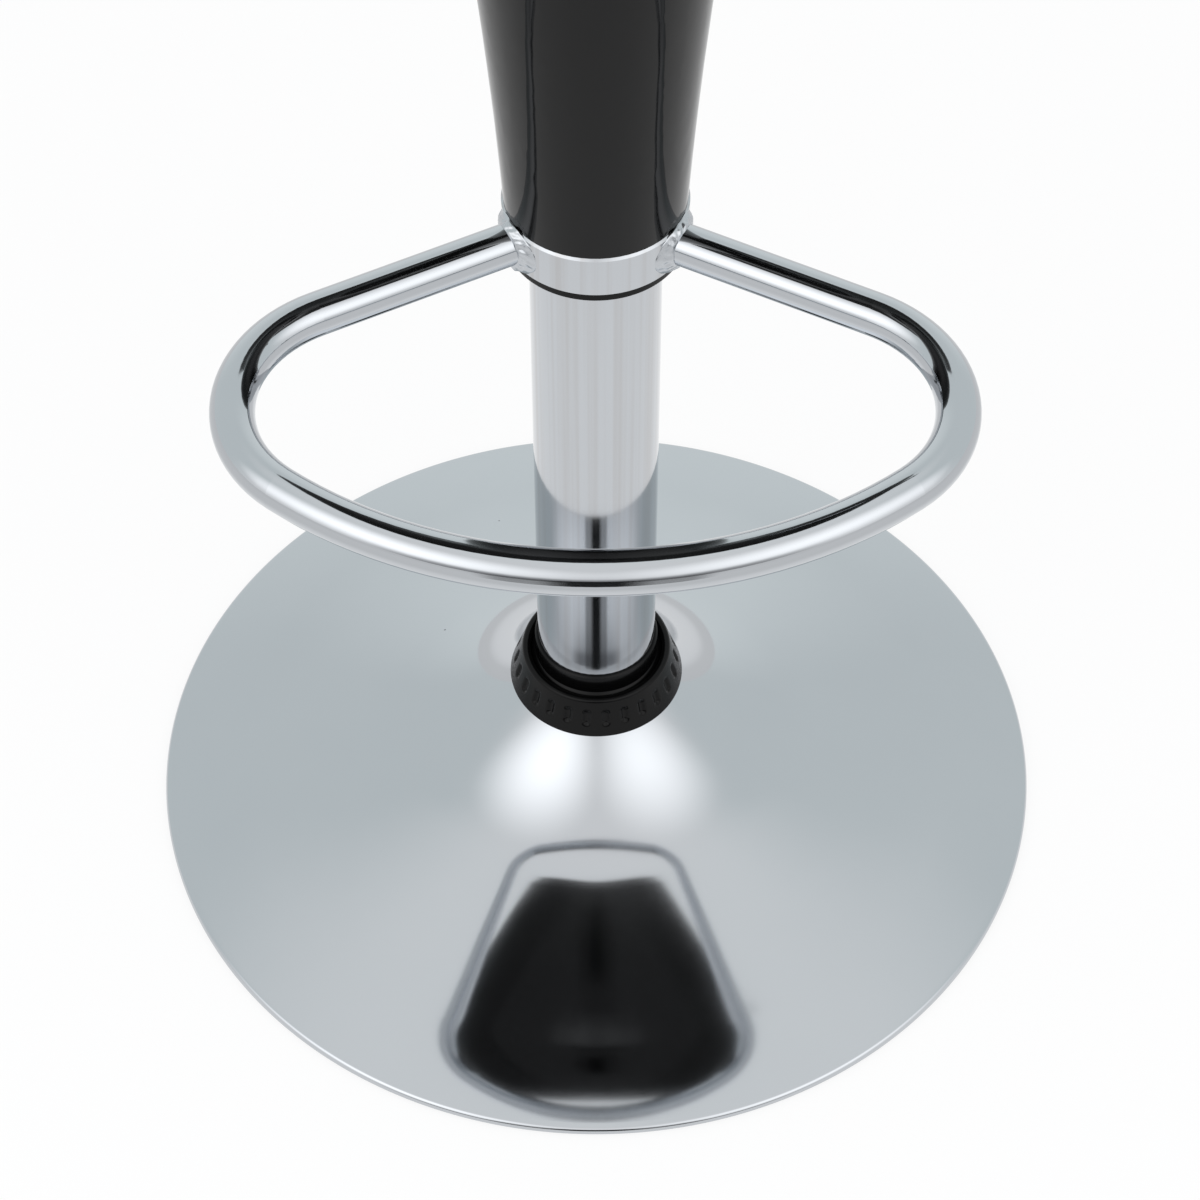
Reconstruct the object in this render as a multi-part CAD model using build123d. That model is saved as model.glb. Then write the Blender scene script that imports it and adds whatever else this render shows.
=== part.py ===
from build123d import *
import math
import os

# Gas-lift bar stool in millimetres, +Z up. The origin is on the floor under the middle of the column.
# The front, where the footrest is, faces -Y. The seat is drawn at its lowest position.

# Fits
press_gap = 0.02        # radial gap of pressed and welded pieces
run_gap = 0.05          # radial gap of sliding and turning pieces
rest_gap = 0.3          # air between faces that meet only at the end of a travel

# Base dish, pressed from sheet
base_r = 192.5
base_sheet = 1.6
rim_gap = 0.9           # lower edge of the dish above the floor
rim_round = 2.4
rim_height = 3.8
rim_slope = 14.6        # steepness of the dish behind its rim, degrees
brim_r = 155.0          # where the dish is flattest
brim_slope = 10.7
waist_r = 88.0
waist_slope = 19.0
neck_r = 35.24
neck_slope = 48.7
neck_bend_r = 6.0
neck_rise = 2.75
floor_ring_width = 13.0

# Column and its socket in the base
column_r = 25.0
column_wall = 2.5
column_foot_z = 12.0
column_taper_drop = 0.7     # how much thinner the column's lower end is
hub_foot_z = 8.0
hub_wall = 3.4
hub_flange_t = 3.0
hub_flange_drop = 2.4   # top of the hub below the top of the neck
spider_t = 2.5
spider_hole_r = 17.0
spider_hole_count = 6
spider_hole_ring_r = 78.0

# Neck ring with its grip dents, and the boot that hugs the column
ring_foot_r = 37.1
ring_foot_wall = 1.6
ring_bore_gap = 0.3
ring_drop = 3.25        # ring's foot below the start of the straight neck
ring_height = 17.3
ring_top_r = 31.4
ring_edge = 1.0
dent_count = 26
dent_r = 2.6
dent_depth = 0.7
dent_length = 9.0
boot_wall = 3.2
boot_lip = 1.2
boot_height = 22.7
boot_step = 11.0        # height of the boot's thick foot

# Swivel bearing and piston rod
foot_plate_t = 5.0
foot_plate_rise = 4.0
rod_r = 5.0
rod_neck_r = 4.0
rod_length = 288.0
rod_tail = 4.5          # rod below the foot plate
clip_t = 1.3
clip_r = 7.5
clip_groove = 0.6
race_r = 14.0
race_t = 1.5
ball_r = 2.0
ball_ring_r = 10.0
ball_count = 12
cage_t = 1.6
shoulder_r = 7.5
shoulder_t = 3.0
buffer_r = 15.5
buffer_height = 15.0
piston_height = 14.0
seal_height = 3.0
seal_depth = 1.6
piston_nut_r = 6.5
piston_nut_height = 4.0

# Gas cylinder
cylinder_r = 14.0
cylinder_wall = 2.0
cylinder_length = 552.0
cylinder_taper_drop = 0.8
gland_height = 20.0
valve_body_height = 21.0
valve_body_sink = 2.0
valve_pin_r = 2.4
valve_pin_length = 13.0
valve_pin_stick = 4.0   # pin above the cylinder
guide_length = 80.0
guide_flange_t = 2.5
guide_top_gap = 1.0

# Seat mechanism
socket_wall = 4.0
socket_length = 26.0
box_sheet = 3.0
box_length = 72.0
box_width = 62.0
box_depth = 22.0
cylinder_stick = 3.0    # cylinder above the floor of the box
plate_t = 3.0
plate_length = 140.0
plate_width = 130.0
plate_corner = 14.0
screw_pitch_x = 110.0
screw_pitch_y = 100.0
screw_r = 3.0
screw_length = 14.0
screw_head_r = 6.0
screw_head_height = 3.6
boss_r = 8.0
boss_height = 13.0

# Lever
lever_r = 4.0
lever_pivot_x = 24.0
lever_pin_r = 2.5
lever_pin_head_r = 4.5
lever_pin_head_t = 2.0
lever_eye_r = 6.5
lever_eye_width = 12.0
lever_tail = 9.0
lever_bend_x = 42.0
lever_drop_x = 84.0
lever_drop = 24.0
lever_bend_r = 14.0
lever_tip_x = 178.0
lever_swing = 7.0       # degrees
lever_room = 3.0        # free room round the lever in its slot
grip_r = 7.0
grip_length = 46.0
grip_nose = 5.0
grip_edge = 3.15

# Sleeve, collar and footrest
bush_wall = 3.0
bush_length = 54.0
bush_flange_t = 3.0
bush_flange_inset = 1.2
sleeve_wall = 2.0
collar_wall = 4.6
collar_height = 18.5
collar_edge = 1.0
footrest_z = 335.0
footrest_r = 173.0
footrest_tube_r = 8.0
footrest_tube_wall = 1.5
footrest_arm_angle = 27.8
footrest_corner_r = 50.0
weld_leg = 2.6

# Stem cover
stem_gap = 0.9
stem_wall = 3.0
stem_taper = 0.0503
stem_curve = 0.000228
flare_length = 124.0
flare_reach = 66.0
flare_power = 4.0
stem_points = 12        # points of the stem's side
stem_crowding = 1.6     # how much closer together they are near the seam

# Seat bucket
shell_wall = 5.0
seam_drop = 16.0        # seam below the top of the seat plate
seat_half_width = 190.0
seat_front = 139.0
seat_back = 178.0
back_lean = 5.0         # degrees
front_turn = 18.0       # height over the pan where the front wall stands upright
wall_turn = 46.0        # the same for the sides and the back
bowl_power = 3.4
flank_power = 2.2
corner_power = 2.9
rim_front_rise = 15.0   # front edge over the pan
rim_climb = 200.0       # how far the edge climbs from front to back
rim_middle = 45.0       # where the edge is halfway up, along Y
rim_spread = 80.0
rim_edge = 2.0
rim_points = 16         # points of the edge's curve from front to back
section_steps = 12      # steps along each half of a level outline
wall_steps = 7          # outlines from the turn of the walls to the top

# Levels worked out from the sizes above
foot_plate_z = column_foot_z + foot_plate_rise
race_z = foot_plate_z + foot_plate_t
upper_race_z = race_z + race_t + 2 * ball_r + run_gap
shoulder_z = upper_race_z + race_t
buffer_z = shoulder_z + shoulder_t
cylinder_z = buffer_z + buffer_height + rest_gap
cylinder_top = cylinder_z + cylinder_length
rod_z = foot_plate_z - rod_tail
piston_z = rod_z + rod_length
box_floor_top = cylinder_top - cylinder_stick
box_floor_z = box_floor_top - box_sheet
socket_z = box_floor_z - socket_length
column_top = socket_z - guide_flange_t - guide_top_gap
plate_z = box_floor_top + box_depth
plate_top = plate_z + plate_t
pan_z = plate_top + boss_height + shell_wall
seam_z = plate_top - seam_drop
lever_z = cylinder_top + valve_pin_stick + rest_gap + lever_r
lever_low_z = lever_z - lever_drop
collar_z = footrest_z - collar_height / 2
stem_z = collar_z + collar_height
seat_top = pan_z + rim_front_rise + rim_climb

# Radii worked out from the sizes above
column_bore_r = column_r - column_wall
hub_r = column_r + hub_wall
boot_r = column_r + boot_wall
bush_r = column_r + bush_wall
sleeve_r = bush_r + sleeve_wall
collar_r = sleeve_r + collar_wall
stem_foot_r = sleeve_r + stem_gap + stem_wall
cylinder_bore_r = cylinder_r - cylinder_wall
socket_r = cylinder_r + socket_wall


def turned(*corners):
    """Solid of revolution about Z from (radius, height) corners."""
    return revolve(Plane.XZ * make_face(Polyline(*corners, close=True)), Axis.Z)


def ring(inner_r, outer_r, low, high):
    """Plain ring between two heights."""
    return turned((inner_r, low), (outer_r, low), (outer_r, high), (inner_r, high))


def disc(radius, low, high):
    """Plain disc between two heights."""
    return turned((0, low), (radius, low), (radius, high), (0, high))


def up_normal(slope):
    """Direction that stands on a face of this steepness, as (radius, height)."""
    return Vector(math.sin(math.radians(slope)), math.cos(math.radians(slope)))


def slope_arc(centre, radius, first, last):
    """Arc between two steepnesses. A negative radius gives the hollow side."""
    middle = (first + last) / 2
    return ThreePointArc(*[centre + up_normal(slope) * radius for slope in (first, middle, last)])


def rim_centre():
    return Vector(base_r - rim_round, rim_height - rim_round)


def dish_arcs():
    """Arcs of the dish's upper face from the rim to the neck: centre, radius, first and last slope.
    The radius is negative where the brim bulges upwards."""
    arcs = []
    slope = rim_slope
    point = rim_centre() + up_normal(slope) * rim_round
    for reach, next_slope in ((brim_r, brim_slope), (waist_r, waist_slope), (neck_r, neck_slope)):
        radius = (point.X - reach) / (up_normal(next_slope).X - up_normal(slope).X)
        centre = point + up_normal(slope) * radius
        arcs.append((centre, radius, slope, next_slope))
        point = centre - up_normal(next_slope) * radius
        slope = next_slope
    arcs.append((point + up_normal(slope) * neck_bend_r, neck_bend_r, slope, 90))
    return arcs


def neck_foot():
    """Where the dish turns into the straight neck, as (radius, height)."""
    centre, radius, first, last = dish_arcs()[-1]
    return centre - up_normal(last) * radius


neck_foot_r = neck_foot().X
neck_foot_z = neck_foot().Y
neck_top = neck_foot_z + neck_rise
neck_bore_r = neck_foot_r - base_sheet
hub_top = neck_top - hub_flange_drop
ring_z = neck_foot_z - ring_drop
ring_bore_r = neck_foot_r + ring_bore_gap
ring_top = ring_z + ring_height


def dish_line(depth):
    """Section of the dish from its edge to the top of the neck, this far below its upper face."""
    edge_r = base_r - depth
    neck_side = neck_foot_r - depth
    lines = [Line((edge_r, rim_gap), (edge_r, rim_centre().Y))]
    lines.append(slope_arc(rim_centre(), rim_round - depth, 90, rim_slope))
    for centre, radius, first, last in dish_arcs():
        lines.append(slope_arc(centre, -radius - depth, first, last))
    lines.append(Line((neck_side, neck_foot_z), (neck_side, neck_top)))
    return lines


def make_base_dish():
    outer = dish_line(0)
    inner = dish_line(base_sheet)
    ends = [Line(outer[0] @ 0, inner[0] @ 0), Line(outer[-1] @ 1, inner[-1] @ 1)]
    return revolve(Plane.XZ * make_face(outer + inner + ends), Axis.Z)


def room_under_dish():
    """Everything below the dish's lower face, down to the floor."""
    inner = dish_line(base_sheet)
    lip = inner[0] @ 0
    top = inner[-1] @ 1
    sides = Polyline(lip, (lip.X, 0), (0, 0), (0, top.Y), top)
    return revolve(Plane.XZ * make_face(inner + [sides]), Axis.Z)


def make_floor_ring():
    outer_r = base_r - base_sheet
    return ring(outer_r - floor_ring_width, outer_r, 0, hub_foot_z) & room_under_dish()


def column_outline_r(height):
    """Outer radius of the column, which tapers inside the hub."""
    share = min(1, max(0, (hub_top - height) / (hub_top - column_foot_z)))
    return column_r - column_taper_drop * share


def make_base_hub():
    low_r = column_outline_r(hub_foot_z) + press_gap
    return turned(
        (low_r, hub_foot_z), (hub_r, hub_foot_z), (hub_r, hub_top - hub_flange_t),
        (neck_bore_r - press_gap, hub_top - hub_flange_t), (neck_bore_r - press_gap, hub_top),
        (column_r + press_gap, hub_top), (column_outline_r(column_foot_z) + press_gap, column_foot_z),
    )


def make_base_spider():
    plate = ring(hub_r + press_gap, base_r, hub_foot_z, hub_foot_z + spider_t) & room_under_dish()
    hole = disc(spider_hole_r, 0, hub_top)
    return plate - PolarLocations(spider_hole_ring_r, spider_hole_count) * hole


def capsule(radius, length):
    """Upright round-ended rod about the origin."""
    straight = length / 2 - radius
    slant = radius * math.sqrt(0.5)
    side = [
        ThreePointArc((0, -length / 2), (slant, -straight - slant), (radius, -straight)),
        Line((radius, -straight), (radius, straight)),
        ThreePointArc((radius, straight), (slant, straight + slant), (0, length / 2)),
        Line((0, length / 2), (0, -length / 2)),
    ]
    return revolve(Plane.XZ * make_face(side), Axis.Z)


def make_neck_ring():
    shelf_r = boot_r + run_gap
    body = turned(
        (ring_foot_r - ring_foot_wall, ring_z), (ring_foot_r, ring_z), (ring_top_r, ring_top),
        (shelf_r, ring_top), (shelf_r, neck_top), (ring_bore_r, neck_top), (ring_bore_r, neck_foot_z),
    )
    body = chamfer(body.edges().filter_by(GeomType.CIRCLE).sort_by(Axis.Z)[-2:], ring_edge)
    lean = math.degrees(math.atan2(ring_foot_r - ring_top_r, ring_height))
    middle_r = (ring_foot_r + ring_top_r) / 2
    dent = Pos(0, 0, (ring_z + ring_top) / 2) * Rot(0, -lean, 0) * capsule(dent_r, dent_length)
    return body - PolarLocations(middle_r + dent_r - dent_depth, dent_count) * dent


def make_column_boot():
    inner_r = column_r + press_gap
    step_z = hub_top + boot_step
    return turned(
        (inner_r, hub_top), (boot_r, hub_top), (boot_r, step_z),
        (column_r + boot_lip, step_z + (boot_wall - boot_lip)),
        (column_r + boot_lip, hub_top + boot_height - boot_lip / 2),
        (column_r + boot_lip / 2, hub_top + boot_height), (inner_r, hub_top + boot_height),
    )


def make_column_tube():
    return turned(
        (column_bore_r, column_foot_z), (column_outline_r(column_foot_z), column_foot_z),
        (column_r, hub_top), (column_r, column_top), (column_bore_r, column_top),
    )


def make_column_foot_plate():
    return ring(rod_neck_r + run_gap, column_bore_r - press_gap, foot_plate_z, foot_plate_z + foot_plate_t)


def make_bearing_race(low):
    return ring(rod_neck_r + run_gap, race_r, low, low + race_t)


def ball_places():
    return PolarLocations(ball_ring_r, ball_count)


def make_bearing_balls():
    middle = race_z + race_t + ball_r
    return Compound(children=[place * Pos(0, 0, middle) * Sphere(ball_r) for place in ball_places()])


def make_bearing_cage():
    middle = race_z + race_t + ball_r
    cage = ring(rod_neck_r + run_gap, race_r, middle - cage_t / 2, middle + cage_t / 2)
    return cage - ball_places() * disc(ball_r + run_gap, 0, hub_top)


def make_guide_bush():
    low = column_top - guide_length
    high = column_top + guide_flange_t
    inner_r = cylinder_r + run_gap
    outer_r = column_bore_r - press_gap
    return turned(
        (inner_r, low), (outer_r, low), (outer_r, column_top), (column_r, column_top), (column_r, high),
        (inner_r, high),
    )


def make_piston_rod():
    groove_top = foot_plate_z - rest_gap
    groove_r = rod_neck_r - clip_groove
    top = piston_z + piston_height + piston_nut_height
    return turned(
        (0, rod_z), (rod_neck_r, rod_z), (rod_neck_r, groove_top - clip_t), (groove_r, groove_top - clip_t),
        (groove_r, groove_top), (rod_neck_r, groove_top), (rod_neck_r, shoulder_z),
        (shoulder_r, shoulder_z), (shoulder_r, buffer_z), (rod_r, buffer_z), (rod_r, piston_z),
        (rod_neck_r, piston_z), (rod_neck_r, top), (0, top),
    )


def make_rod_clip():
    high = foot_plate_z - rest_gap
    return ring(rod_neck_r - clip_groove, clip_r, high - clip_t, high)


def make_rod_buffer():
    return ring(rod_r + press_gap, buffer_r, buffer_z, buffer_z + buffer_height)


def seal_levels():
    middle = piston_z + piston_height / 2
    return middle - seal_height / 2, middle + seal_height / 2


def make_piston():
    outer_r = cylinder_bore_r - run_gap
    low, high = seal_levels()
    body = ring(rod_neck_r + press_gap, outer_r, piston_z, piston_z + piston_height)
    return body - ring(outer_r - seal_depth, outer_r, low, high)


def make_piston_seal():
    outer_r = cylinder_bore_r - run_gap
    return ring(outer_r - seal_depth, outer_r, *seal_levels())


def make_piston_nut():
    low = piston_z + piston_height
    nut = extrude(Pos(0, 0, low) * RegularPolygon(piston_nut_r, 6), piston_nut_height)
    return nut - disc(rod_neck_r + press_gap, low, low + piston_nut_height)


def cylinder_outline_r(height):
    """Outer radius of the gas cylinder, whose top is a taper that grips the seat's socket."""
    share = max(0, (height - socket_z) / (cylinder_top - socket_z))
    return cylinder_r - cylinder_taper_drop * share


def make_gas_cylinder():
    return turned(
        (cylinder_bore_r, cylinder_z), (cylinder_r, cylinder_z), (cylinder_r, socket_z),
        (cylinder_outline_r(cylinder_top), cylinder_top), (cylinder_bore_r, cylinder_top),
    )


def make_rod_gland():
    return ring(rod_r + run_gap, cylinder_bore_r - press_gap, cylinder_z, cylinder_z + gland_height)


def make_valve_body():
    high = cylinder_top - valve_body_sink
    return ring(valve_pin_r + run_gap, cylinder_bore_r - press_gap, high - valve_body_height, high)


def make_valve_pin():
    high = cylinder_top + valve_pin_stick
    shape = disc(valve_pin_r, high - valve_pin_length, high)
    return fillet(shape.edges().sort_by(Axis.Z)[-1], valve_pin_r / 2)


def make_taper_socket():
    return turned(
        (cylinder_r + press_gap, socket_z), (socket_r, socket_z), (socket_r, box_floor_z),
        (cylinder_outline_r(box_floor_z) + press_gap, box_floor_z),
    )


def make_mechanism_box():
    outside = Pos(0, 0, (box_floor_z + plate_z) / 2) * Box(box_length, box_width, plate_z - box_floor_z)
    inner_width = box_width - 2 * box_sheet
    inside = Box(box_length, inner_width, plate_z - box_floor_top)
    inside = Pos(0, 0, (box_floor_top + plate_z) / 2) * inside
    bore = disc(cylinder_r + press_gap, box_floor_z, box_floor_top)
    pin_hole = Pos(lever_pivot_x, 0, lever_z) * Rot(90, 0, 0) * Cylinder(lever_pin_r + press_gap, box_width)
    return outside - inside - bore - pin_hole


def screw_places():
    return GridLocations(screw_pitch_x, screw_pitch_y, 2, 2)


def make_seat_plate():
    outline = RectangleRounded(plate_length, plate_width, plate_corner)
    return extrude(Pos(0, 0, plate_z) * outline, plate_t) - screw_places() * disc(
        screw_r + run_gap, plate_z, plate_top)


def make_seat_screws():
    head = disc(screw_head_r, plate_z - screw_head_height, plate_z)
    head = fillet(head.edges().sort_by(Axis.Z)[0], screw_head_height / 2)
    screw = head + disc(screw_r, plate_z, plate_z + screw_length)
    return Compound(children=[place * screw for place in screw_places()])


def make_lift_sleeve():
    return ring(bush_r, sleeve_r, collar_z, box_floor_z)


def make_sleeve_bush():
    flange_r = collar_r - bush_flange_inset
    flange_z = collar_z - bush_flange_t
    inner_r = column_r + run_gap
    outer_r = bush_r - press_gap
    top = collar_z + bush_length
    return turned(
        (inner_r, flange_z), (flange_r, flange_z), (flange_r, collar_z), (outer_r, collar_z),
        (outer_r, top), (inner_r, top),
    )


def make_footrest_collar():
    body = ring(sleeve_r + press_gap, collar_r, collar_z, stem_z)
    outer = body.edges().filter_by(GeomType.CIRCLE).group_by(SortBy.RADIUS)[-1]
    return chamfer(outer, collar_edge)


def footrest_path():
    """Centre line of the loop: arm, corner, front arc about the column, corner, arm."""
    corner_out = footrest_r - footrest_corner_r
    spread = math.degrees(math.asin(footrest_corner_r / corner_out))
    arm_reach = math.sqrt(corner_out ** 2 - footrest_corner_r ** 2)

    def at(radius, angle):
        turn = math.radians(angle)
        return Vector(radius * math.cos(turn), radius * math.sin(turn), footrest_z)

    lines = []
    for angle, turn in ((180 + footrest_arm_angle, 1), (360 - footrest_arm_angle, -1)):
        centre = at(corner_out, angle + turn * spread)
        arm_end = at(arm_reach, angle)
        front_end = at(footrest_r, angle + turn * spread)
        outward = (arm_end - centre).normalized() + (front_end - centre).normalized()
        middle = centre + outward.normalized() * footrest_corner_r
        lines += [Line(at(sleeve_r, angle), arm_end), ThreePointArc(arm_end, middle, front_end)]
    front = ThreePointArc(lines[1] @ 1, at(footrest_r, 270), lines[3] @ 1)
    return Wire(lines + [front])


def make_footrest_loop():
    path = footrest_path()
    section = Plane(origin=path @ 0, z_dir=path % 0)
    outer = sweep(section * Circle(footrest_tube_r), path)
    inner = sweep(section * Circle(footrest_tube_r - footrest_tube_wall), path)
    return outer - inner - disc(collar_r, collar_z - collar_height, stem_z + collar_height)


def make_footrest_welds():
    beads = []
    near = sleeve_r
    far = collar_r + footrest_tube_r / 2
    for angle in (180 + footrest_arm_angle, 360 - footrest_arm_angle):
        bead = turned(
            (footrest_tube_r, near), (footrest_tube_r + weld_leg, near),
            (footrest_tube_r + weld_leg, collar_r + weld_leg / 2), (footrest_tube_r, far),
        )
        bead = Pos(0, 0, footrest_z) * Rot(0, 0, angle) * Rot(0, 90, 0) * bead
        beads.append(bead - disc(collar_r, collar_z - collar_height, stem_z + collar_height))
    return Compound(children=beads)


def stem_r(height):
    """Outer radius of the stem cover and of the seat's flare just over the seam."""
    up = height - stem_z
    flare = max(0, (height - seam_z + flare_length) / flare_length)
    return stem_foot_r + stem_taper * up + stem_curve * up ** 2 + flare_reach * flare ** flare_power


def stem_line(inset):
    """Side of the stem cover, this far inside its outer face."""
    shares = [(1 - step / stem_points) ** stem_crowding for step in range(stem_points + 1)]
    heights = [seam_z - (seam_z - stem_z) * share for share in shares]
    return Spline(*[(stem_r(height) - inset, height) for height in heights])


def lever_slot():
    """Room that the lever sweeps through the stem cover's wall."""
    reach = lever_r + lever_room
    low = lever_low_z - reach
    high = lever_low_z + reach + (lever_tip_x - lever_pivot_x) / 2 * math.sin(math.radians(lever_swing))
    slot = Box(lever_tip_x, 2 * reach, high - low, align=(Align.MIN, Align.CENTER, Align.MIN))
    return Pos(lever_bend_x, 0, low) * slot


def make_stem_cover():
    outer = stem_line(0)
    inner = stem_line(stem_wall)
    ends = [Line(outer @ 0, inner @ 0), Line(outer @ 1, inner @ 1)]
    return revolve(Plane.XZ * make_face([outer, inner] + ends), Axis.Z) - lever_slot()


def seat_section(half_width, front, back, power, height):
    """Level outline of the seat, in two mirrored halves: a rounded oblong with its own front and back reach."""
    points = [(0, -front, height)]
    for step in range(1, section_steps):
        angle = math.pi * (step / section_steps - 0.5)
        across = math.cos(angle) ** (2 / power)
        along = math.copysign(abs(math.sin(angle)) ** (2 / power), math.sin(angle))
        points.append((half_width * across, (back if along > 0 else front) * along, height))
    points.append((0, back, height))
    right = Spline(*points, tangents=[(1, 0, 0), (-1, 0, 0)])
    return make_face([right, mirror(right, Plane.YZ)])


def climb(height, low, turn):
    """Share of the way from a low edge, 0, to the upright wall, 1."""
    return min(1, max(0, (height - low) / turn))


def back_shift(height):
    """How far the leaning back has moved out at this height."""
    return max(0, height - pan_z - wall_turn) * math.tan(math.radians(back_lean))


def flank_section(height, inset):
    """Outside of the bucket: round at the seam, a rounded oblong higher up."""
    if height <= seam_z:
        reach = stem_r(height) - inset
        return seat_section(reach, reach, reach, 2, height)
    reaches = []
    for full, turn in ((seat_half_width, wall_turn), (seat_front, front_turn), (seat_back, wall_turn)):
        left = 1 - climb(height, seam_z, pan_z + turn - seam_z)
        reaches.append(full - (full - stem_r(seam_z)) * left ** flank_power - inset)
    reaches[2] += back_shift(height)
    power = 2 + (corner_power - 2) * climb(height, seam_z, pan_z - seam_z)
    return seat_section(*reaches, power, height)


def bowl_section(height, grow):
    """Inside of the bucket, or the same grown outward for the pan's lower face."""
    reaches = []
    for full, turn in ((seat_half_width, wall_turn), (seat_front, front_turn), (seat_back, wall_turn)):
        left = 1 - climb(height, pan_z - grow, turn + grow)
        reaches.append((full - shell_wall + grow) * (1 - left ** bowl_power) ** (1 / bowl_power))
    reaches[2] += back_shift(height)
    return seat_section(*reaches, corner_power, height)


def flank_levels(high):
    """Heights from just under the seam to where the walls stand upright, closer together near the seam."""
    shares = [0, 0.1, 0.22, 0.36, 0.52, 0.72, 1]
    return [seam_z - shell_wall] + [seam_z + (high - seam_z) * share for share in shares]


def bowl_levels(grow):
    """Heights of the pan's sections, about evenly spaced along its curve."""
    shares = [0.3, 0.4, 0.5, 0.6, 0.69, 0.78, 0.86, 0.93, 0.975, 1]
    rise = wall_turn + grow
    return [pan_z - grow + rise * (1 - (1 - share ** bowl_power) ** (1 / bowl_power)) for share in shares]


def wall_levels():
    """Heights above the turn of the walls, to just over the highest edge."""
    low = pan_z + wall_turn
    high = seat_top + shell_wall
    return [low + (high - low) * (step + 1) / wall_steps for step in range(wall_steps)]


def room_over_rim():
    """Everything above the seat's edge, which is low in front and climbs to the back."""
    reach = seat_back + wall_turn
    points = []
    for step in range(rim_points + 1):
        along = reach * (2 * step / rim_points - 1)
        share = 0.5 + 0.5 * math.tanh((along - rim_middle) / rim_spread)
        points.append((along, pan_z + rim_front_rise + rim_climb * share))
    high = seat_top + rim_climb
    sides = Polyline(points[-1], (reach, high), (-reach, high), points[0])
    return extrude(Plane.YZ * make_face([Spline(*points), sides]), reach, both=True)


def make_seat_bucket():
    upright_z = pan_z + wall_turn
    outside = loft([flank_section(height, 0) for height in flank_levels(upright_z) + wall_levels()])
    bowl = loft([bowl_section(height, 0) for height in bowl_levels(0) + wall_levels()])
    hollow_top = pan_z + front_turn
    hollow = loft([flank_section(height, shell_wall) for height in flank_levels(hollow_top)])
    pan_room = loft([bowl_section(height, shell_wall) for height in bowl_levels(shell_wall)])
    low = disc(2 * seat_front, seam_z - 2 * shell_wall, seam_z)
    bosses = screw_places() * disc(boss_r, plate_top, hollow_top)
    tall_shell = outside - low - bowl - (hollow - pan_room - bosses)
    over_rim = room_over_rim()
    shell = tall_shell - over_rim
    shell = fillet(new_edges(tall_shell, over_rim, combined=shell), rim_edge)
    return shell - screw_places() * disc(screw_r + press_gap, plate_top, plate_z + screw_length)


def make_lever_rod():
    path = FilletPolyline(
        (-lever_tail, 0, lever_z), (lever_bend_x, 0, lever_z),
        (lever_drop_x, 0, lever_low_z), (lever_tip_x, 0, lever_low_z), radius=lever_bend_r,
    )
    rod = sweep(Plane(origin=path @ 0, z_dir=path % 0) * Circle(lever_r), path)
    eye = Pos(lever_pivot_x, 0, lever_z) * Rot(90, 0, 0) * Cylinder(lever_eye_r, lever_eye_width)
    bore = Pos(lever_pivot_x, 0, lever_z) * Rot(90, 0, 0) * Cylinder(lever_pin_r + run_gap, lever_eye_width)
    return rod + eye - bore


def make_lever_grip():
    body = Cylinder(grip_r, grip_length, align=(Align.CENTER, Align.CENTER, Align.MIN))
    body = fillet(body.edges().filter_by(GeomType.CIRCLE), grip_edge)
    bore_length = grip_length - grip_nose
    body -= Cylinder(lever_r + press_gap, bore_length, align=(Align.CENTER, Align.CENTER, Align.MIN))
    return Pos(lever_tip_x - bore_length, 0, lever_low_z) * Rot(0, 90, 0) * body


def make_lever_pin():
    pin = Cylinder(lever_pin_r, box_width)
    head_z = (box_width + lever_pin_head_t) / 2
    for end in (-1, 1):
        pin += Pos(0, 0, end * head_z) * Cylinder(lever_pin_head_r, lever_pin_head_t)
    return Pos(lever_pivot_x, 0, lever_z) * Rot(90, 0, 0) * pin


nodes = {
    "base_dish": make_base_dish(),
    "base_floor_ring": make_floor_ring(),
    "base_hub": make_base_hub(),
    "base_spider": make_base_spider(),
    "neck_ring": make_neck_ring(),
    "column_boot": make_column_boot(),
    "column_tube": make_column_tube(),
    "column_foot_plate": make_column_foot_plate(),
    "column_guide_bush": make_guide_bush(),
    "bearing_lower_race": make_bearing_race(race_z),
    "bearing_balls": make_bearing_balls(),
    "bearing_cage": make_bearing_cage(),
    "bearing_upper_race": make_bearing_race(upper_race_z),
    "piston_rod": make_piston_rod(),
    "rod_clip": make_rod_clip(),
    "rod_buffer": make_rod_buffer(),
    "piston": make_piston(),
    "piston_seal": make_piston_seal(),
    "piston_nut": make_piston_nut(),
    "gas_cylinder": make_gas_cylinder(),
    "rod_gland": make_rod_gland(),
    "valve_body": make_valve_body(),
    "valve_pin": make_valve_pin(),
    "taper_socket": make_taper_socket(),
    "mechanism_box": make_mechanism_box(),
    "seat_plate": make_seat_plate(),
    "seat_screws": make_seat_screws(),
    "lift_sleeve": make_lift_sleeve(),
    "sleeve_bush": make_sleeve_bush(),
    "footrest_collar": make_footrest_collar(),
    "footrest_loop": make_footrest_loop(),
    "footrest_welds": make_footrest_welds(),
    "stem_cover": make_stem_cover(),
    "seat_bucket": make_seat_bucket(),
    "lever_rod": make_lever_rod(),
    "lever_grip": make_lever_grip(),
    "lever_pin": make_lever_pin(),
}

os.makedirs("parts", exist_ok=True)
for name, shape in nodes.items():
    export_step(shape, f"parts/{name}.step")
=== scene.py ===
import bpy
import bmesh
import math
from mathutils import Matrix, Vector, noise


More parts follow.
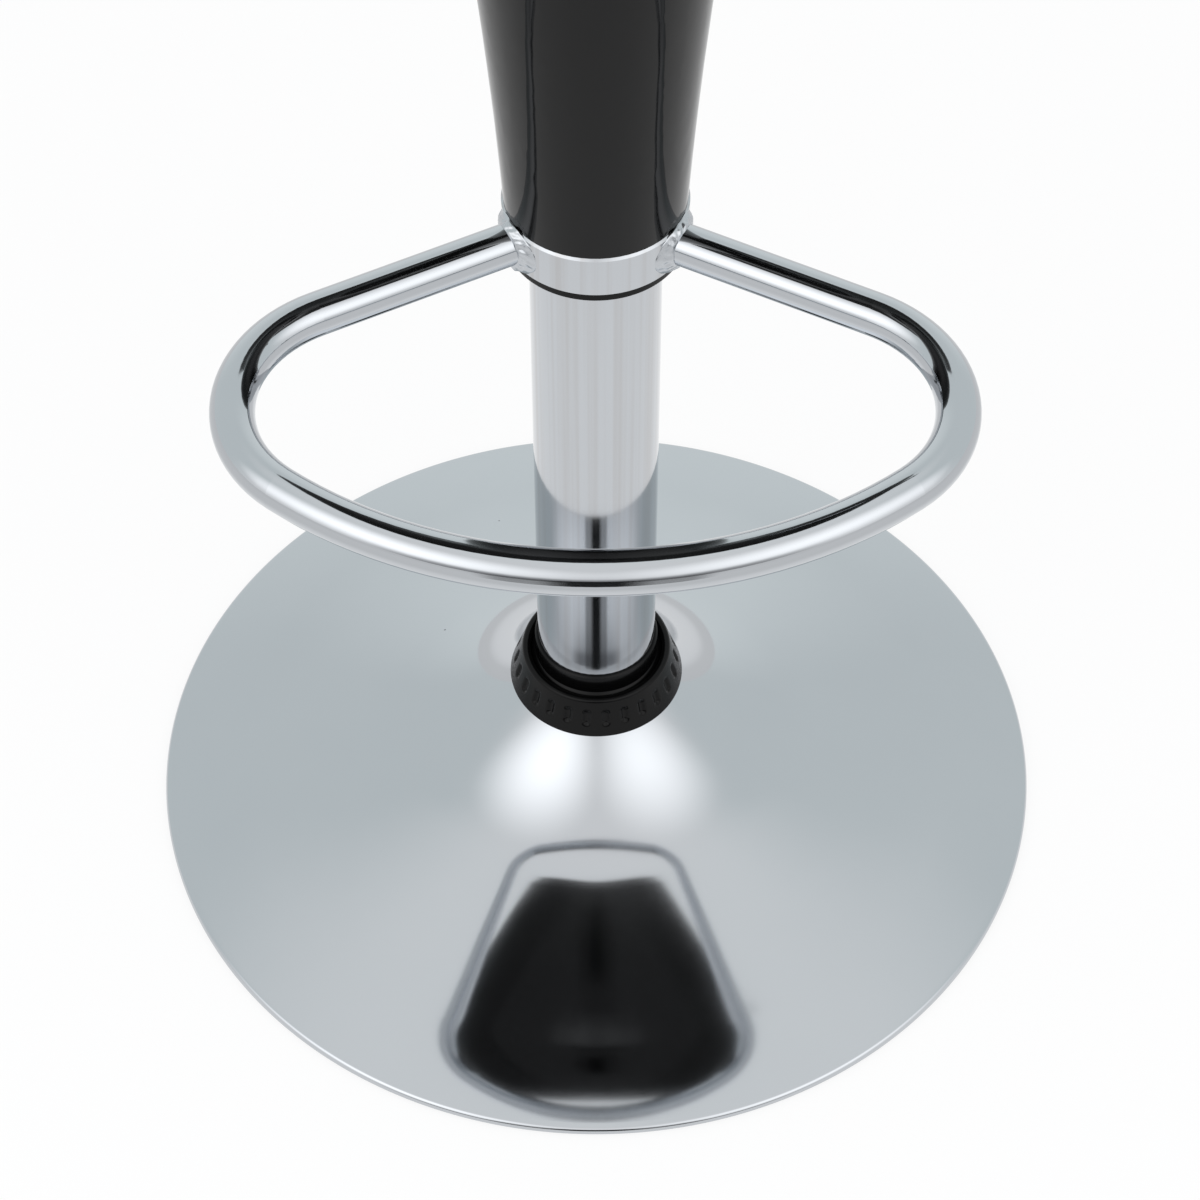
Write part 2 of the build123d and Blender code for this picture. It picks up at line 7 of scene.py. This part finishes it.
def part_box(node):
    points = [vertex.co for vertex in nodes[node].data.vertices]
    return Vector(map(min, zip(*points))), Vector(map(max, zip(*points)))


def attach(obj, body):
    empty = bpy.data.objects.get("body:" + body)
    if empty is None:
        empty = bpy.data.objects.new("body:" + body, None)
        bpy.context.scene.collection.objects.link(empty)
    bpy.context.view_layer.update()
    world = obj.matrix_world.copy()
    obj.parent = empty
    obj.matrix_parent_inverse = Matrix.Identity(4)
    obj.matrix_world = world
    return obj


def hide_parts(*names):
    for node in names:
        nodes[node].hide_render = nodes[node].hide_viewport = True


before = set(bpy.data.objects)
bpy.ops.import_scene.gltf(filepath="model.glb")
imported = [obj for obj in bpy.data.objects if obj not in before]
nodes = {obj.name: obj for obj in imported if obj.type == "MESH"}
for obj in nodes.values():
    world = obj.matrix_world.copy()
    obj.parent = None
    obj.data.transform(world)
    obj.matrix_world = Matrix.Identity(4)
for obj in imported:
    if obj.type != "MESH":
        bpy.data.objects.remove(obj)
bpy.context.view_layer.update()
scene = bpy.context.scene
scene.view_settings.view_transform = "Standard"


# Camera at the photograph's place

camera_lens = 93.87
camera_sensor = 36.0
camera_place = (0.0016, -0.842, 1.129)
camera_tilt = 39.62

camera_data = bpy.data.cameras.new("camera")
camera_data.lens = camera_lens
camera_data.sensor_width = camera_sensor
camera = bpy.data.objects.new("camera", camera_data)
camera.location = camera_place
camera.rotation_euler = (math.radians(camera_tilt), 0.0, 0.0)
scene.collection.objects.link(camera)
scene.camera = camera


# Node helpers

class Tree:
    """Shorthand for building a node tree."""

    def __init__(self, tree):
        self.tree = tree
        tree.nodes.clear()

    def add(self, kind, inputs=None, **settings):
        node = self.tree.nodes.new(kind)
        for key, value in settings.items():
            setattr(node, key, value)
        for key, value in (inputs or {}).items():
            if isinstance(value, bpy.types.NodeSocket):
                self.tree.links.new(value, node.inputs[key])
            else:
                node.inputs[key].default_value = value
        return node

    def math(self, operation, first, second=0.0):
        return self.add("ShaderNodeMath", {0: first, 1: second}, operation=operation).outputs[0]

    def ramp(self, value, low, high, to_low=0.0, to_high=1.0):
        """Smooth step of a value from one range to another."""
        node = self.add("ShaderNodeMapRange", {"Value": value, "From Min": low, "From Max": high,
                                               "To Min": to_low, "To Max": to_high})
        node.interpolation_type = "SMOOTHSTEP"
        return node.outputs["Result"]

    def noise(self, vector, scale, detail=3.0, roughness=0.5):
        node = self.add("ShaderNodeTexNoise", {"Vector": vector, "Scale": scale, "Detail": detail,
                                               "Roughness": roughness})
        return node.outputs["Fac"]

    def blend(self, share, first, second):
        node = self.add("ShaderNodeMix", data_type="RGBA")
        for socket, value in ((node.inputs[0], share), (node.inputs[6], first), (node.inputs[7], second)):
            if isinstance(value, bpy.types.NodeSocket):
                self.tree.links.new(value, socket)
            else:
                socket.default_value = value
        return node.outputs[2]

    def bump(self, height, distance, normal=None):
        inputs = {"Strength": 1.0, "Distance": distance, "Height": height}
        if normal is not None:
            inputs["Normal"] = normal
        return self.add("ShaderNodeBump", inputs).outputs["Normal"]


def grey(value, blue=1.0):
    return (value, value, value * blue, 1.0)


def new_material(name):
    material = bpy.data.materials.new(name)
    material.use_nodes = True
    return material, Tree(material.node_tree)


def close_material(tree, inputs):
    shader = tree.add("ShaderNodeBsdfPrincipled", inputs)
    tree.add("ShaderNodeOutputMaterial", {"Surface": shader.outputs["BSDF"]})


# Materials

def make_chrome(name, rough, wave, pits, streak=0.0):
    """Mirror chrome plate: faint waves of the metal, hazy patches, upright streaks and a few pits."""
    clear_tint = (0.515, 0.538, 0.565, 1.0)
    hazy_tint = (0.555, 0.575, 0.60, 1.0)
    streak_tint = (0.40, 0.375, 0.36, 1.0)
    streak_scale = (260.0, 260.0, 1.5)
    pit_tint = (0.22, 0.22, 0.23, 1.0)
    pit_depth = 0.00004
    pit_roughness = 0.25
    pit_scale = 46.0
    grain_depth = 0.0000003
    material, tree = new_material(name)
    place = tree.add("ShaderNodeTexCoord").outputs["Object"]
    waves = tree.noise(place, scale=22.0, detail=1.0)
    haze = tree.noise(place, scale=9.0, detail=4.0, roughness=0.6)
    grain = tree.noise(place, scale=2600.0, detail=2.0)
    cells = tree.add("ShaderNodeTexVoronoi", {"Vector": place, "Scale": pit_scale})
    chance = tree.add("ShaderNodeSeparateColor", {"Color": cells.outputs["Color"]}).outputs[0]
    chosen = tree.math("GREATER_THAN", chance, 1.0 - pits)
    pit = tree.math("MULTIPLY", tree.ramp(cells.outputs["Distance"], 0.012, 0.03, 1.0, 0.0), chosen)
    tint = tree.blend(haze, clear_tint, hazy_tint)
    drawn = tree.add("ShaderNodeMapping", {"Vector": place, "Scale": streak_scale}).outputs[0]
    lines = tree.ramp(tree.noise(drawn, scale=1.0), 0.42, 0.72, 0.0, streak)
    tint = tree.blend(lines, tint, streak_tint)
    tint = tree.blend(pit, tint, pit_tint)
    roughness = tree.ramp(haze, 0.3, 0.7, rough * 0.8, rough * 1.25)
    roughness = tree.math("ADD", roughness, tree.math("MULTIPLY", pit, pit_roughness))
    normal = tree.bump(waves, wave)
    normal = tree.bump(grain, grain_depth, normal)
    normal = tree.bump(tree.math("SUBTRACT", 1.0, pit), pit_depth, normal)
    close_material(tree, {"Base Color": tint, "Metallic": 1.0, "Roughness": roughness, "Normal": normal})
    return material


def make_plastic(name, tone, gloss, rough, grain_scale, grain_depth, wave):
    """Black moulded plastic: grain, slow waves, and faint handling marks in the gloss."""
    material, tree = new_material(name)
    place = tree.add("ShaderNodeTexCoord").outputs["Object"]
    grain = tree.noise(place, grain_scale)
    waves = tree.noise(place, scale=26.0, detail=1.0)
    marks = tree.noise(place, scale=14.0, detail=5.0, roughness=0.65)
    colour = tree.blend(marks, grey(tone * 0.85, 1.03), grey(tone * 1.2, 1.06))
    roughness = tree.ramp(marks, 0.3, 0.75, rough * 0.85, rough * 1.3)
    normal = tree.bump(waves, wave)
    normal = tree.bump(grain, grain_depth, normal)
    close_material(tree, {"Base Color": colour, "Roughness": roughness, "IOR": 1.5,
                          "Specular IOR Level": gloss, "Normal": normal})
    return material


def make_paint(name):
    """Black paint on pressed steel: orange peel and worn spots."""
    fresh_tint = (0.014, 0.014, 0.015, 1.0)
    worn_tint = (0.045, 0.045, 0.046, 1.0)
    peel_depth = 0.00001
    material, tree = new_material(name)
    place = tree.add("ShaderNodeTexCoord").outputs["Object"]
    peel = tree.noise(place, scale=420.0, detail=2.0)
    wear = tree.noise(place, scale=30.0, detail=6.0, roughness=0.7)
    colour = tree.blend(tree.ramp(wear, 0.6, 0.8), fresh_tint, worn_tint)
    roughness = tree.ramp(wear, 0.3, 0.8, 0.3, 0.55)
    normal = tree.bump(peel, peel_depth)
    close_material(tree, {"Base Color": colour, "Roughness": roughness, "IOR": 1.5, "Normal": normal})
    return material


def make_zinc(name):
    """Bright zinc plate with fine turning marks and bluish patches."""
    bluish_tint = (0.50, 0.52, 0.55, 1.0)
    bright_tint = (0.62, 0.62, 0.60, 1.0)
    mark_scale = (40.0, 40.0, 2600.0)
    mark_depth = 0.000003
    material, tree = new_material(name)
    place = tree.add("ShaderNodeTexCoord").outputs["Object"]
    stretched = tree.add("ShaderNodeMapping", {"Vector": place, "Scale": mark_scale}).outputs[0]
    turning = tree.noise(stretched, scale=1.0, detail=2.0)
    patches = tree.noise(place, scale=60.0, detail=4.0)
    colour = tree.blend(patches, bluish_tint, bright_tint)
    roughness = tree.ramp(turning, 0.3, 0.7, 0.2, 0.36)
    normal = tree.bump(turning, mark_depth)
    close_material(tree, {"Base Color": colour, "Metallic": 1.0, "Roughness": roughness, "Normal": normal})
    return material


base_chrome = make_chrome("base_chrome", rough=0.065, wave=0.00005, pits=0.25)
tube_chrome = make_chrome("tube_chrome", rough=0.05, wave=0.00001, pits=0.1)
column_chrome = make_chrome("column_chrome", rough=0.05, wave=0.00001, pits=0.05, streak=0.35)
weld_chrome = make_chrome("weld_chrome", rough=0.24, wave=0.00003, pits=0.3)
stem_abs = make_plastic("stem_abs", tone=0.0022, gloss=0.22, rough=0.04,
                        grain_scale=700.0, grain_depth=0.0000004, wave=0.00002)
seat_abs = make_plastic("seat_abs", tone=0.002, gloss=0.13, rough=0.09,
                        grain_scale=900.0, grain_depth=0.000004, wave=0.00002)
nylon = make_plastic("satin_nylon", tone=0.002, gloss=0.16, rough=0.17,
                     grain_scale=1400.0, grain_depth=0.000006, wave=0.00002)
rubber = make_plastic("matte_rubber", tone=0.012, gloss=0.3, rough=0.7,
                      grain_scale=900.0, grain_depth=0.00003, wave=0.00002)
paint = make_paint("black_paint")
zinc = make_zinc("bright_zinc")

looks = {
    base_chrome: ["base_dish"],
    tube_chrome: ["footrest_loop", "lever_rod"],
    column_chrome: ["column_tube", "footrest_collar"],
    weld_chrome: ["footrest_welds"],
    stem_abs: ["stem_cover"],
    seat_abs: ["seat_bucket"],
    nylon: ["neck_ring", "column_boot", "column_guide_bush", "sleeve_bush", "lever_grip", "bearing_cage"],
    rubber: ["base_floor_ring", "rod_buffer", "piston_seal"],
    paint: ["base_hub", "base_spider", "lift_sleeve", "mechanism_box", "seat_plate", "taper_socket",
            "gas_cylinder"],
    zinc: ["column_foot_plate", "bearing_lower_race", "bearing_balls", "bearing_upper_race", "piston_rod",
           "rod_clip", "piston", "piston_nut", "rod_gland", "valve_body", "valve_pin", "seat_screws",
           "lever_pin"],
}
for material, names in looks.items():
    for name in names:
        for slot in nodes[name].material_slots:
            slot.material = material


# Pieces made in Blender

def make_piece(name, points, faces, material, body, sharp):
    """Smooth mesh piece that rides on a body."""
    mesh = bpy.data.meshes.new(name)
    mesh.from_pydata(points, [], faces)
    mesh.materials.append(material)
    shaper = bmesh.new()
    shaper.from_mesh(mesh)
    bmesh.ops.recalc_face_normals(shaper, faces=shaper.faces)
    shaper.to_mesh(mesh)
    shaper.free()
    mesh.polygons.foreach_set("use_smooth", [True] * len(mesh.polygons))
    mesh.set_sharp_from_angle(angle=math.radians(sharp))
    piece = bpy.data.objects.new(name, mesh)
    scene.collection.objects.link(piece)
    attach(piece, body)
    return piece


def ring_faces(rings, around):
    """Quads of a closed band of closed rings."""
    faces = []
    for i in range(rings):
        for j in range(around):
            k = (j + 1) % around
            n = (i + 1) % rings
            faces.append((i * around + j, i * around + k, n * around + k, n * around + j))
    return faces


def turned_points(section, around):
    """Closed section of (radius, height) pairs turned about the column's axis."""
    points = []
    for j in range(around):
        turn = 2 * math.pi * j / around
        points += [(radius * math.cos(turn), radius * math.sin(turn), height) for radius, height in section]
    return points


# Base dish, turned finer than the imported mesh, with the solid's own section

base_r = 0.1925
base_sheet = 0.0016
rim_gap = 0.0009
rim_round = 0.0024
rim_height = 0.0038
rim_slope = 14.6
brim_r = 0.155
brim_slope = 10.7
waist_r = 0.088
waist_slope = 19.0
neck_r = 0.03524
neck_slope = 48.7
neck_bend_r = 0.006
neck_rise = 0.00275


def up_normal(slope):
    return Vector((math.sin(math.radians(slope)), math.cos(math.radians(slope))))


def arc_points(centre, radius, first, last, steps):
    """Points of an arc between two steepnesses. A negative radius gives the hollow side."""
    return [centre + up_normal(first + (last - first) * step / steps) * radius for step in range(steps + 1)]


def dish_line(depth, bend_steps, arc_steps):
    """Section of the dish from its edge to the top of the neck, this far below its upper face."""
    rim = Vector((base_r - rim_round, rim_height - rim_round))
    points = [Vector((base_r - depth, rim_gap))]
    points += arc_points(rim, rim_round - depth, 90, rim_slope, bend_steps)
    slope = rim_slope
    spot = rim + up_normal(slope) * rim_round
    for reach, next_slope in ((brim_r, brim_slope), (waist_r, waist_slope), (neck_r, neck_slope)):
        radius = (spot.x - reach) / (up_normal(next_slope).x - up_normal(slope).x)
        centre = spot + up_normal(slope) * radius
        points += arc_points(centre, -radius - depth, slope, next_slope, arc_steps)[1:]
        spot = centre - up_normal(next_slope) * radius
        slope = next_slope
    centre = spot + up_normal(slope) * neck_bend_r
    points += arc_points(centre, -neck_bend_r - depth, slope, 90, bend_steps)[1:]
    points.append(points[-1] + Vector((0, neck_rise)))
    return [tuple(point) for point in points]


def make_dish():
    upper = dish_line(0.0, bend_steps=10, arc_steps=20)
    lower = dish_line(base_sheet, bend_steps=5, arc_steps=6)
    section = upper + lower[::-1]
    around = 360
    points = turned_points(section, around)
    faces = ring_faces(around, len(section))
    dish = make_piece("dish_plate", points, faces, base_chrome, "base", sharp=35.0)
    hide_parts("base_dish")


make_dish()


# Neck ring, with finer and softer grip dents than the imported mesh

ring_top_r = 0.0314
ring_shelf_r = 0.02825
ring_bore_r = 0.034048
ring_foot_wall = 0.0016
ring_shelf_drop = 0.0113
ring_bore_rise = 0.00325
ring_edge = 0.001
ring_bend_in = 0.0003
ring_bend_drop = 0.00012
dent_count = 26
dent_depth = 0.0011
dent_reach = 0.0023
dent_straight = 0.0021


def dent_at(turn, radius, along):
    """Depth of the nearest dent at this turn and this far along the ring's side from its middle."""
    pitch = 2 * math.pi / dent_count
    aside = ((turn / pitch + 0.5) % 1 - 0.5) * pitch * radius
    away = math.hypot(aside, max(0.0, abs(along) - dent_straight))
    return dent_depth * 0.5 * (1 + math.cos(math.pi * min(1.0, away / dent_reach)))


def make_grip_ring():
    low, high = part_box("neck_ring")
    foot = Vector((high.x, low.z))
    top = Vector((ring_top_r, high.z))
    side = (top - foot).normalized()
    inward = Vector((-side.y, side.x))
    length = (top - foot).length
    rows = 40
    steps_per_dent = 20
    around = dent_count * steps_per_dent
    outer = [foot + side * (length - ring_edge) * row / rows for row in range(rows + 1)]
    edge = [top + Vector((-ring_bend_in, -ring_bend_drop)), top + Vector((-ring_edge, 0))]
    shelf_z = high.z - ring_shelf_drop
    inner = [Vector((ring_shelf_r + ring_edge, high.z)), Vector((ring_shelf_r, high.z - ring_edge)),
             Vector((ring_shelf_r, shelf_z)), Vector((ring_bore_r, shelf_z)),
             Vector((ring_bore_r, low.z + ring_bore_rise)), Vector((foot.x - ring_foot_wall, low.z))]
    points = []
    for j in range(around):
        turn = 2 * math.pi * j / around
        section = []
        for spot in outer:
            depth = dent_at(turn, spot.x, (spot - foot).length - length / 2)
            section.append(spot + inward * depth)
        section += edge + inner
        points += [(spot.x * math.cos(turn), spot.x * math.sin(turn), spot.y) for spot in section]
    faces = ring_faces(around, len(outer + edge + inner))
    grip = make_piece("grip_ring", points, faces, nylon, "base", sharp=50.0)
    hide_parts("neck_ring")


make_grip_ring()


# Welds of the footrest's arms on the collar

footrest_z = 0.335
collar_r = 0.0346
tube_r = 0.008
arm_angle = 27.8
weld_leg = 0.0026
weld_least_spread = 0.0018
weld_side_spread = 0.0042
weld_bury = 0.0006
weld_crown = 0.0001
lump_size = 0.0005
lump_scale = 330.0
grain_size = 0.00012
grain_scale = 900.0
ripple_size = 0.00012
ripple_count = 20
ripple_twist = 5
stray_share = 2
stray_scale = 150.0
edge_size = 0.0006
edge_scale = 240.0


def weld_spot(angle, turn, radius, rise):
    """Place at this turn round an arm, this far from the arm's axis and this far off the collar."""
    out = Vector((math.cos(angle), math.sin(angle), 0.0))
    side = Vector((-math.sin(angle), math.cos(angle), 0.0))
    aside = radius * math.cos(turn)
    reach = math.sqrt(collar_r ** 2 - aside ** 2) + rise
    level = Vector((0, 0, footrest_z + radius * math.sin(turn)))
    return out * reach + side * aside + level


def weld_section(angle, turn, seed, steps):
    """Closed section of a weld at one turn round its arm: a lumpy face, then the buried root."""
    spread = weld_least_spread + weld_side_spread * math.cos(turn) ** 2
    section = []
    for i in range(steps + 1):
        share = i / steps
        spot = weld_spot(angle, turn, tube_r + spread * share, weld_leg * (1 - share))
        lump = noise.noise(spot * lump_scale + seed) * lump_size
        lump += noise.noise(spot * grain_scale + seed) * grain_size
        stray = stray_share * noise.noise(spot * stray_scale)
        ripple = math.sin(ripple_count * turn + ripple_twist * share + stray) * ripple_size
        bulge = math.sin(math.pi * share) * (weld_crown + ripple + lump)
        edge = noise.noise(spot * edge_scale + seed * 2) * edge_size
        radius = tube_r + (spread + edge) * share + bulge
        rise = (weld_leg + edge) * (1 - share) + bulge
        section.append(weld_spot(angle, turn, radius, rise))
    section.append(weld_spot(angle, turn, tube_r + spread, -weld_bury))
    section.append(weld_spot(angle, turn, tube_r - weld_bury, -weld_bury))
    section.append(weld_spot(angle, turn, tube_r - weld_bury, weld_leg))
    return section


def make_welds():
    """Fillet welds that spread wider to the arms' sides than above and below."""
    arms = ((180 + arm_angle, Vector((1.0, 1.7, 0.4))), (360 - arm_angle, Vector((4.1, 1.7, 0.4))))
    steps = 12
    around = 120
    points = []
    faces = []
    for angle, seed in arms:
        start = len(points)
        for j in range(around):
            section = weld_section(math.radians(angle), 2 * math.pi * j / around, seed, steps)
            points += section
        faces += [tuple(start + v for v in face) for face in ring_faces(around, len(section))]
    welds = make_piece("weld_beads", points, faces, weld_chrome, "seat", sharp=70.0)
    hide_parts("footrest_welds")


make_welds()


# White studio

def make_world():
    """White to the camera, a pale room with a dim low front in reflections, and an even fill light."""
    side_wall = (0.79, 0.84, 0.845, 1.0)
    ceiling = (0.98, 1.0, 1.0, 1.0)
    back_wall = (0.92, 0.97, 0.97, 1.0)
    low_front = (0.14, 0.14, 0.15, 1.0)
    fill = (0.92, 0.93, 0.94, 1.0)
    white = grey(1.0)
    world = bpy.data.worlds.new("studio")
    world.use_nodes = True
    scene.world = world
    tree = Tree(world.node_tree)
    path = tree.add("ShaderNodeLightPath")
    seen = tree.math("MAXIMUM", path.outputs["Is Camera Ray"], path.outputs["Is Transmission Ray"])
    way = tree.add("ShaderNodeTexCoord").outputs["Generated"]
    behind, rise = tree.add("ShaderNodeSeparateXYZ", {0: way}).outputs[1:3]
    ahead = tree.math("MULTIPLY", behind, -1.0)
    walls = tree.blend(tree.ramp(rise, 0.75, 0.95), side_wall, ceiling)
    walls = tree.blend(tree.ramp(behind, 0.7, 0.95), walls, back_wall)
    walls = tree.blend(tree.ramp(ahead, -0.2, 0.35), walls, white)
    low_ahead = tree.math("MULTIPLY", tree.ramp(rise, 0.12, 0.36, 0.75, 0.0), tree.ramp(ahead, 0.6, 0.9))
    walls = tree.blend(low_ahead, walls, low_front)
    colour = tree.blend(path.outputs["Is Glossy Ray"], fill, walls)
    colour = tree.blend(seen, colour, white)
    shade = tree.add("ShaderNodeBackground", {"Color": colour, "Strength": 1.0})
    tree.add("ShaderNodeOutputWorld", {"Surface": shade.outputs[0]})


def make_floor():
    """Pale floor that keeps the object's shadow and greys a little with distance in reflections."""
    half = 14.0
    glow_share = 0.8
    near_tone = 1.0
    far_tone = 0.8
    matte_tone = 0.94
    material, tree = new_material("floor")
    path = tree.add("ShaderNodeLightPath")
    seen = tree.math("MAXIMUM", path.outputs["Is Camera Ray"], path.outputs["Is Transmission Ray"])
    seen = tree.math("MAXIMUM", seen, path.outputs["Is Glossy Ray"])
    share = tree.math("MULTIPLY", seen, glow_share)
    diffuse = tree.add("ShaderNodeBsdfDiffuse", {"Color": grey(matte_tone)})
    place = tree.add("ShaderNodeNewGeometry").outputs["Position"]
    reach = tree.add("ShaderNodeVectorMath", {0: place}, operation="LENGTH").outputs["Value"]
    far = tree.math("MULTIPLY", path.outputs["Is Glossy Ray"], tree.ramp(reach, 0.3, 0.6))
    colour = tree.blend(far, grey(near_tone), grey(far_tone))
    white = tree.add("ShaderNodeEmission", {"Color": colour, "Strength": 1.0})
    mixed = tree.add("ShaderNodeMixShader", {0: share, 1: diffuse.outputs[0], 2: white.outputs[0]})
    tree.add("ShaderNodeOutputMaterial", {"Surface": mixed.outputs[0]})
    mesh = bpy.data.meshes.new("floor")
    corners = [(-half, -half, 0), (half, -half, 0), (half, half, 0), (-half, half, 0)]
    mesh.from_pydata(corners, [], [(0, 1, 2, 3)])
    mesh.materials.append(material)
    floor = bpy.data.objects.new("floor", mesh)
    scene.collection.objects.link(floor)


def studio_place(azimuth, elevation, distance):
    """Place seen from the base at this azimuth, 0 being the front and 90 the right."""
    turn = math.radians(azimuth)
    tilt = math.radians(elevation)
    flat = distance * math.cos(tilt)
    return Vector((flat * math.sin(turn), -flat * math.cos(turn), distance * math.sin(tilt)))


def make_softbox(name, place, target, width, height, radiance):
    """Area lamp that is brightest in its middle, 1 being white, and fades to its edge."""
    light = bpy.data.lights.new(name, "AREA")
    light.shape = "RECTANGLE"
    light.size = width
    light.size_y = height
    light.energy = radiance * math.pi * width * height
    light.use_nodes = True
    tree = Tree(light.node_tree)
    spot = tree.add("ShaderNodeNewGeometry").outputs["Parametric"]
    middle = (0.5, 0.5, 0.0)
    reach = tree.add("ShaderNodeVectorMath", {0: spot, 1: middle}, operation="DISTANCE").outputs["Value"]
    glow = tree.ramp(reach, 0.0, 0.5, 1.0, 0.0)
    shade = tree.add("ShaderNodeEmission", {"Strength": glow})
    tree.add("ShaderNodeOutputLight", {"Surface": shade.outputs[0]})
    lamp = bpy.data.objects.new(name, light)
    lamp.location = place
    lamp.rotation_euler = (Vector(target) - Vector(place)).to_track_quat("-Z", "Y").to_euler()
    lamp.visible_camera = False
    scene.collection.objects.link(lamp)


def make_dark_card():
    """Dark card in front, seen only in reflections, as a studio sets one to draw the tubes' shape."""
    half = 0.4
    fade_share = 0.7
    core = 0.06
    core_end = 0.2
    core_share = 0.5
    ahead = 0.95
    high = 0.42
    low = 0.001
    material, tree = new_material("dark_card")
    place = tree.add("ShaderNodeTexCoord").outputs["Object"]
    colour = tree.blend(tree.noise(place, scale=30.0), grey(0.02), grey(0.035))
    aside = tree.math("ABSOLUTE", tree.add("ShaderNodeSeparateXYZ", {0: place}).outputs[0])
    wide = tree.ramp(aside, half * fade_share, half, 1.0 - core_share, 0.0)
    cover = tree.math("ADD", wide, tree.ramp(aside, core, core_end, core_share, 0.0))
    close_material(tree, {"Base Color": colour, "Roughness": 0.9, "Specular IOR Level": 0.0,
                          "Alpha": cover})
    mesh = bpy.data.meshes.new("dark_card")
    corners = [(-half, -ahead, low), (half, -ahead, low), (half, -ahead, high), (-half, -ahead, high)]
    mesh.from_pydata(corners, [], [(0, 1, 2, 3)])
    mesh.materials.append(material)
    card = bpy.data.objects.new("dark_card", mesh)
    card.visible_camera = False
    card.visible_diffuse = False
    card.visible_shadow = False
    scene.collection.objects.link(card)


softbox_rise = 38.0
softbox_distance = 1.9
softbox_width = 3.4
softbox_height = 2.4
softbox_target = (0, 0, 0.05)

make_world()
make_floor()
make_dark_card()
for name, azimuth, radiance in (("softbox_left", -45.0, 0.95), ("softbox_right", 45.0, 0.75)):
    place = studio_place(azimuth, softbox_rise, softbox_distance)
    make_softbox(name, place, softbox_target, softbox_width, softbox_height, radiance)
